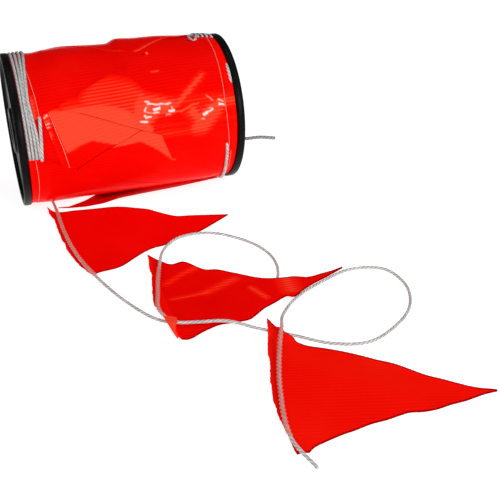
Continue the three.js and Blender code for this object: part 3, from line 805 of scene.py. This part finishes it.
# ---- Hanging pennant ----
# The one pennant that has come loose below: its far part still lies under the winding, and its
# front edge and tip hang down to the floor.
FILM_THICKNESS = 0.00025
HANG_X = np.array([-92.5, -79, -59, -38, -18, 10, 55, 88, 114.0])
HANG_FRONT = np.array([-64.4, -62.2, -60.9, -61.2, -61.0, -61.0, -61.5, -62.5, -64.0])
HANG_FRONT_RADIUS = np.array([98.8, 100.6, 101.9, 101.0, 97.6, 96.0, 94.2, 92.0, 90.2])
HANG_BACK = np.array([-65.2, -64.4, -69.0, -78.0, -81.0, -82.0, -82.0, -82.0, -82.0])
HANG_BACK_RADIUS = np.array([98.2, 98.8, 95.4, 91.4, 90.0, 89.6, 88.8, 87.6, 86.6])
hang_x = np.linspace(-92.5, 114, 110)[:, None]
front, front_radius, back, back_radius = (
    np.interp(hang_x, HANG_X, column)
    for column in (HANG_FRONT, HANG_FRONT_RADIUS, HANG_BACK, HANG_BACK_RADIUS)
)
t = np.linspace(0, 1, 24)[None, :]
hang_angle = back + (front - back) * t
hang_radius = back_radius + (front_radius - back_radius) * t
hang_radius = np.maximum(hang_radius, wound_radius(hang_x, hang_angle) + 0.4)
hang_radius = np.minimum(hang_radius, (AXIS_HEIGHT - 0.3) / np.abs(np.sin(np.radians(hang_angle))))
hang_points = on_reel(hang_x, hang_angle, hang_radius)
hang_uv = np.stack(np.broadcast_arrays((114 - hang_x) * MM, hang_angle * ARC * MM), axis=-1)
hang_edge = np.linalg.norm(hang_points - hang_points[:, -1:], axis=-1)
# Painted shade: its colour is darkened as if in the drum's own shade, deepest where it goes in
# under the winding.
deepest = smoothed((0.64 - t) / 0.3) * smoothed((hang_x + 52) / 22) * smoothed((20 - hang_x) / 20)
hang_shade = -0.30 * smoothed((50 - hang_x) / 50) - 1.2 * deepest
hang_marks = film_marks(hang_points, edge_a=hang_edge, pale=hang_shade)
hanging = surface("hanging_pennant", hang_points, FILM, hang_uv, marks=hang_marks)
hanging.modifiers.new("film thickness", "SOLIDIFY").thickness = FILM_THICKNESS
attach(hanging, "root")
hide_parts("pennant_hanging")

# ---- Cord turns at the winding's ends ----
# Between pennants the bare cord shows, in close turns by the left disc and again by the right one.
# The low left pennant covers the turns below. On top, by the right disc, a slack turn has kinked.

# Places of the left turns along the axis, a row for every angle.
LEFT_TURNS_ANGLE = np.array([-180.0, -90, 0, 20, 43, 62, 94, 180])
LEFT_TURNS = np.array([
    [-120.8, -116.2, -111.6, -107], [-120.8, -116.4, -112.4, -108.2], [-120.8, -117, -113.2, -109.6],
    [-120.8, -117, -113.4, -110.3], [-120.6, -117.8, -115.4, -113.6], [-120.4, -117, -114, -111.4],
    [-120.6, -116, -111.4, -106.8], [-120.8, -116.2, -111.6, -107],
])
# Four turns on end. Behind the drum each steps over to the place of the next.
sweep = np.linspace(-180, 180 * 7, 1150)
turn_number = np.clip(((sweep + 180) // 360).astype(int), 0, 3)
next_number = np.minimum(turn_number + 1, 3)
turn_angle = (sweep + 180) % 360 - 180
step_over = smoothed((turn_angle - 120) / 60)
columns = np.stack([np.interp(turn_angle, LEFT_TURNS_ANGLE, LEFT_TURNS[:, k]) for k in range(4)], axis=1)
here = columns[np.arange(len(sweep)), turn_number]
onward = columns[np.arange(len(sweep)), next_number]
turn_x = here * (1 - step_over) + onward * step_over
stacked = 1.3 * (turn_number % 2) * np.exp(-(((turn_angle - 45) / 22) ** 2))
turn_radius = wound_radius(turn_x, turn_angle) + 1.5 + stacked
dip = smoothed((2 - turn_angle) / 3) * smoothed((turn_angle + 103) / 4)
turn_radius = turn_radius - 4.2 * dip


def turns_piece(name, x, degrees, radius, shaded_sides=0.0):
    """Cord that runs round the drum, with its section leaning on the radius. pressed is painted shade on
    the sides that touch the next turns.
    """
    a = np.radians(degrees)
    out = np.stack([0 * a, -np.cos(a), np.sin(a)], axis=-1)
    path = on_reel(x, degrees, radius)
    path[:, 2] = np.maximum(path[:, 2], 2.3)
    return cord_piece(name, path, out, 16, shaded_sides)


turns_piece("cord_turns_left", turn_x, turn_angle, turn_radius, 1.0)
run_angle = np.linspace(38, -5, 80)
run_x = np.interp(run_angle, [-5, 0, 31, 38], [-108.4, -108.0, -104, -103])
sunk = smoothed((run_angle - 28) / 6) + smoothed((1 - run_angle) / 4)
turns_piece("cord_run_left", run_x, run_angle, wound_radius(run_x, run_angle) + 1.9 - 4.2 * sunk)

RIGHT_TURNS = np.array([103.0, 108.5, 114.2, 120.2])
turn_x = RIGHT_TURNS[turn_number] * (1 - step_over) + RIGHT_TURNS[next_number] * step_over
covered = smoothed((96 - turn_angle) / 4) * smoothed((turn_angle + 110) / 5)
turn_radius = wound_radius(turn_x, turn_angle) + 1.7 - 4.4 * covered
turns_piece("cord_turns_right", turn_x, turn_angle, turn_radius, 1.0)
run_angle = np.linspace(-6, -66, 120)
run_x = np.interp(run_angle, [-66, -61, -45, -26, -11, -6], [116, 115.5, 112.5, 110.2, 109.3, 109])
run_radius = wound_radius(run_x, run_angle) + 2.6 - 3.5 * smoothed((run_angle + 10) / 4)
turns_piece("cord_run_right", run_x, run_angle, run_radius)
gap_angle = np.linspace(58, 40, 40)
turns_piece("cord_by_disc", 121.2 + 0 * gap_angle, gap_angle,
            wound_radius(121.2, gap_angle) + 1.8 * np.sin(np.pi * (58 - gap_angle) / 18) - 0.6)
# The kinked turn, as place along the axis, angle round it and radius.
KINK = np.array([
    [108, 99, 87.5], [103.5, 104, 89.6], [99, 105, 90.2], [94.5, 102, 90.6], [91.6, 96, 90.8], [91, 90, 90.6],
    [93, 86.5, 90.4], [96, 87.5, 91.0], [98.5, 92, 91.8], [101.5, 97, 90.3], [106, 101, 87.5],
])
kink_path = smooth_path(on_reel(*KINK.T), 0.9)
cord_piece("cord_kink", kink_path, np.array([0.0, -0.15, 0.99]), 14, core=0.60)

# ---- Pennants on the floor ----
# Three of the same film triangles, run off the reel and lying in a row. The cord lies on each,
# sewn along its short edge; their long edges have curled and the second one lies over the cord.


def near_path(x, y, first, last):
    """Distance in plan from every grid point to the cord between two of its route points."""
    start, stop = route_part(first, last)
    line = loose_path[start:stop:3, :2]
    return np.sqrt(((x[..., None] - line[:, 0]) ** 2 + (y[..., None] - line[:, 1]) ** 2).min(axis=-1))


def floor_pennant(
    name, node, middle, turn, far, near, base, waves, lifts, crossings=(), streaks=(), tone=0.0
):
    """Sheet between two wavy long edges, given as distance along the pennant and across it.

    Row t runs from the near edge to the far one at fraction t of both; the first rows are pushed out
    to the ragged short edge, base. Height is the film's waves, the lift of its edges and a smooth
    hump wherever the cord lies under it: crossings give two route points and the hump's reach. The mark
    pale is the tone plus the streaks, painted sheen where a wave catches the light.
    """
    far, near = np.array(far, float), np.array(near, float)
    t = np.linspace(0, 1, 110)
    s = np.linspace(0, 1, 74)[None, :]
    edges = []
    for edge in (near, far):
        path = smooth_path(np.c_[edge, 0 * edge[:, 0]], 1.0)
        reach = np.linspace(0, 1, len(path))
        edges.append(np.stack([np.interp(t, reach, path[:, k]) for k in range(2)], axis=1))
    along = edges[0][:, :1] * (1 - s) + edges[1][:, :1] * s
    across = edges[0][:, 1:] * (1 - s) + edges[1][:, 1:] * s
    base = np.array(base, float)
    frayed = 0.35 * np.sin(1.9 * across + 2 * np.sin(0.7 * across))
    ragged = np.interp(across, base[:, 1], base[:, 0]) + frayed
    along = along + (ragged - along[:1]) * np.clip(1 - t / 0.3, 0, 1)[:, None] ** 1.5
    x = middle[0] + along * np.cos(turn) - across * np.sin(turn)
    y = middle[1] + along * np.sin(turn) + across * np.cos(turn)
    z = 0.45 + 0 * x
    for u, v, slant, width, rise in waves:
        d = (along - u) * np.cos(slant) + (across - v) * np.sin(slant)
        e = -(along - u) * np.sin(slant) + (across - v) * np.cos(slant)
        z = z + rise * np.exp(-((d / width) ** 2) - (e / 45) ** 2)
    for at, reach, side, rise in lifts:
        edge = s if side > 0 else 1 - s
        z = z + rise * np.exp(-(((along - at) / reach) ** 2)) * edge**5
    fade = np.clip(np.abs(along) / 9 - 0.25, 0, 1)
    z = 0.45 + (z - 0.45) * smoothed(fade)
    z = z + 0.9 * smoothed((-along - 3) / 6) * np.clip(1 - t * 8, 0, 1)[:, None]
    for first, last, reach in crossings:
        over = smoothed((reach - near_path(x, y, first, last)) / (reach - 5))
        z = z + (4.8 - z) * over
    points = np.stack([x, y, z], axis=-1)
    width = np.hypot(along[:, -1:] - along[:, :1], across[:, -1:] - across[:, :1])
    pale = sum((stroke(along, across / ARC, line) for line in streaks), 0 * x + tone)
    marks = film_marks(points, 0.27 * width * s, 0.27 * width * (1 - s), pale)
    made = surface(name, points, FILM, np.stack([along, across], axis=-1) * MM, flip=True, marks=marks)
    made.modifiers.new("film thickness", "SOLIDIFY").thickness = FILM_THICKNESS
    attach(made, "root")
    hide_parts(node)
    return made


first_pennant = floor_pennant(
    "pennant_first", "pennant_1", (-91, -124), 0.1,
    far=[[-4, 90], [3, 73], [26, 67], [49, 60], [72, 52], [94, 40], [105, 33], [113, 23], [123, 11],
         [132, 4], [145, 1], [163, -5], [190, -15]],
    near=[[4, -76], [13, -74], [30, -74], [40, -72], [55, -64], [68, -57], [81, -52], [98, -50], [114, -43],
          [128, -40], [142, -39], [161, -31], [190, -17]],
    base=[[4, -76], [1, -70], [-4, -53], [-8, -28], [-9, -16], [-7, -3], [-9, 4], [-7, 28], [-5, 57],
          [-7, 68], [-5, 90]],
    waves=[[60, 10, 1.2, 16, 0.9], [105, -10, 1.5, 12, 0.8], [30, -30, 0.9, 20, 0.6]],
    lifts=[[75, 28, 1, 2.4], [120, 20, 1, 1.2], [60, 26, -1, 0.8]],
)
second_pennant = floor_pennant(
    "pennant_second", "pennant_2", (-13.6, -261.5), -0.04,
    far=[[-3, 84], [3, 75], [9, 67], [19, 55], [31, 55], [37, 51], [43, 44], [51, 35], [63, 29], [78, 21],
         [88, 12], [98, 3], [109, -3], [124, -6], [138, -7], [152, -12], [167, -10], [181, -8], [194, -4]],
    near=[[-3, -77], [2, -79], [8, -78], [17, -74], [28, -70], [38, -67], [55, -67], [69, -66], [79, -60],
          [89, -53], [102, -47], [112, -42], [118, -40], [124, -43], [137, -35], [151, -27], [171, -18],
          [194, -7]],
    base=[[-3, -77], [-7, -70], [-9, -60], [-11, -50], [-12, -39], [-14, -25], [-17, -18], [-17, -9],
          [-14, 9], [-11, 27], [-8, 40], [-8, 53], [-6, 67], [-4, 84]],
    waves=[[45, 0, 1.9, 14, 1.2], [70, 5, 1.2, 12, 1.2], [95, -20, 1.0, 12, 1.0], [25, 20, 0.5, 12, 0.8]],
    streaks=[[3, 14, 46, 29, 3, 0.42], [3, -6, 40, -5.5, 2.5, 0.42], [40, -5.5, 77, 5, 4, 0.40],
             [86, -9, 97, -24, 3, 0.55], [128, -4, 126, -22, 9, 0.55]],
    crossings=[(7, 11, 62), (31, 33, 40)],
    lifts=[[28, 12, 1, 3.0], [62, 12, 1, 3.0], [45, 18, -1, 1.2], [95, 16, -1, 1.2]],
)
third_pennant = floor_pennant(
    "pennant_third", "pennant_3", (49.5, -430.4), -0.29,
    far=[[-8, 103], [-4, 97], [1, 88], [8, 76], [15, 68], [22, 62], [29, 58], [41, 55], [52, 52], [64, 48],
         [78, 42], [92, 35], [106, 29], [119, 21], [132, 13], [147, 7], [160, 1], [175, -5], [193, -8]],
    near=[[4, -81], [9, -79], [15, -79], [20, -74], [34, -66], [44, -61], [56, -56], [71, -49], [86, -44],
          [98, -39], [107, -36], [119, -36], [134, -34], [148, -28], [165, -21], [179, -15], [193, -11]],
    base=[[4, -81], [2, -76], [0, -66], [-3, -55], [-6, -44], [-9, -34], [-9, -28], [-11, -18], [-11, 3],
          [-12, 7], [-10, 36], [-11, 47], [-9, 80], [-8, 103]],
    waves=[[70, 10, 1.4, 20, 0.8], [110, -15, 0.9, 16, 1.2], [40, 30, 0.7, 18, 0.8]],
    crossings=[(23, 24, 10)],
    lifts=[[110, 26, 1, 1.0], [140, 14, -1, 2.0], [60, 26, -1, 0.8]],
    tone=0.08,
)

# The lower corner of the second pennant, turned up and folded over the cord where it crosses itself: a
# straight blend between the curves of its two sides, bowed up in the middle.
CORNER_OUTER = [[-24.5, -340.5, 6.5], [-26.8, -329.5, 8.6], [-28.7, -320.0, 11.0], [-29.9, -306.2, 11.9]]
CORNER_INNER = [[-22.9, -338.6, 6.5], [-23.2, -328.7, 9.6], [-19.0, -320.8, 11.9], [-18.1, -314.0, 11.9]]
t, s = np.linspace(0, 1, 30)[:, None], np.linspace(0, 1, 22)[None, :]
outer = smooth_path(CORNER_OUTER, 0.5)
inner = smooth_path(CORNER_INNER, 0.5)
outer, inner = (line[np.linspace(0, len(line) - 1, 30).astype(int)][:, None] for line in (outer, inner))
corner_points = outer * (1 - s[..., None]) + inner * s[..., None]
corner_points[..., 2] += 0.7 * np.sin(np.pi * s) * np.sin(np.pi * t)
# Its pale mark of 0.85 paints the turned-up corner with a light orange sheen.
corner = surface("pennant_second_corner", corner_points, FILM,
                 np.stack(np.broadcast_arrays(s * 0.014, t * 0.025), axis=-1),
                 marks=film_marks(corner_points, pale=0.85))
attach(corner, "root")


def sewn(name, first, last):
    """Thread that wraps over the cord every 5 mm where it is sewn to a pennant, as a low zigzag: a thin
    tube on the circle just outside the cord, at an angle that swings as a sine with its tops cut off."""
    start, stop = route_part(first, last)
    line = smooth_path(loose_path[start:stop], 0.5)
    side = np.cross(unit(np.gradient(line, axis=0)), UP)
    run = np.arange(len(line)) * 0.5
    swing = np.clip(1.5 * np.sin(2 * np.pi * run / 5), -1, 1) * 1.35
    reach = CORD_RADIUS + 0.25
    path = line + side * (reach * np.sin(swing))[:, None] + UP * (reach * np.cos(swing))[:, None]
    out = (path - line) / reach
    across = np.cross(unit(np.gradient(path, axis=0)), out)
    turn = np.linspace(0, 2 * np.pi, 5, endpoint=False)[None, :, None]
    points = path[:, None] + 0.28 * (np.cos(turn) * across[:, None] + np.sin(turn) * out[:, None])
    made = surface(name, points, THREAD, around=True, ends=True, flip=True)
    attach(made, "root")
    return made


for sheet, place, extra in (
    (first_pennant, "first", []), (second_pennant, "second", [corner]), (third_pennant, "third", []),
):
    stitch = sewn("sewn_" + place, *SEWN_PARTS[place])

# ---- Floor and light ----
# A plain white floor that glows a little, so shadows on it stay faint, and soft panels: one on each
# side, one above, a weak tall one in front for the film's sheen and a small strong one for its glints.
floor_finish = Finish("pale floor", {
    "Base Color": (0.60, 0.60, 0.60, 1),
    "Roughness": 0.95,
    "Specular IOR Level": 0.05,
    "Emission Color": (1, 1, 1, 1),
    "Emission Strength": 0.80,
})
floor_mesh = bpy.data.meshes.new("floor")
floor_corners = [(-6, -6, -0.0005), (6, -6, -0.0005), (6, 6, -0.0005), (-6, 6, -0.0005)]
floor_mesh.from_pydata(floor_corners, [], [(0, 1, 2, 3)])
floor_mesh.materials.append(floor_finish.material)
floor = bpy.data.objects.new("floor", floor_mesh)
bpy.context.collection.objects.link(floor)


def panel(name, place, aim, size, power):
    """Soft rectangular lamp at a place, facing a point: its axes are the line between the two and two
    cross products of it, the first with a nearly upright line."""
    data = bpy.data.lights.new(name, "AREA")
    data.shape, data.size, data.size_y, data.energy = "RECTANGLE", size[0], size[1], power
    lamp = bpy.data.objects.new(name, data)
    bpy.context.collection.objects.link(lamp)
    place, aim = placed(place), placed(aim)
    forward = (place - aim) / np.linalg.norm(place - aim)
    across = np.cross([0.02, 0, 1.0], forward)
    across = across / np.linalg.norm(across)
    turned = np.eye(4)
    turned[:3, :3] = np.stack([across, np.cross(forward, across), forward], axis=1)
    turned[:3, 3] = place
    lamp.matrix_world = Matrix(turned.tolist())
    lamp.visible_camera = False


panel("left panel", (-1500, -1000, 1300), (0, -150, 60), (1.5, 1.5), 10)
panel("right panel", (1700, -1000, 1300), (0, -150, 60), (1.5, 1.5), 9)
panel("top panel", (100, 0, 2200), (60, -150, 0), (2.4, 2.0), 13)
panel("front panel", (330, -2000, 360), (0, 0, 90), (1.5, 1.0), 3)
panel("glint strip", (420, -1650, 900), (40, 0, 90), (0.10, 0.6), 12)
world = bpy.data.worlds.new("studio")
bpy.context.scene.world = world
world.use_nodes = True
background = world.node_tree.nodes["Background"]
background.inputs["Color"].default_value = (1, 1, 1, 1)
background.inputs["Strength"].default_value = 0.1
bpy.context.scene.view_settings.view_transform = "Standard"
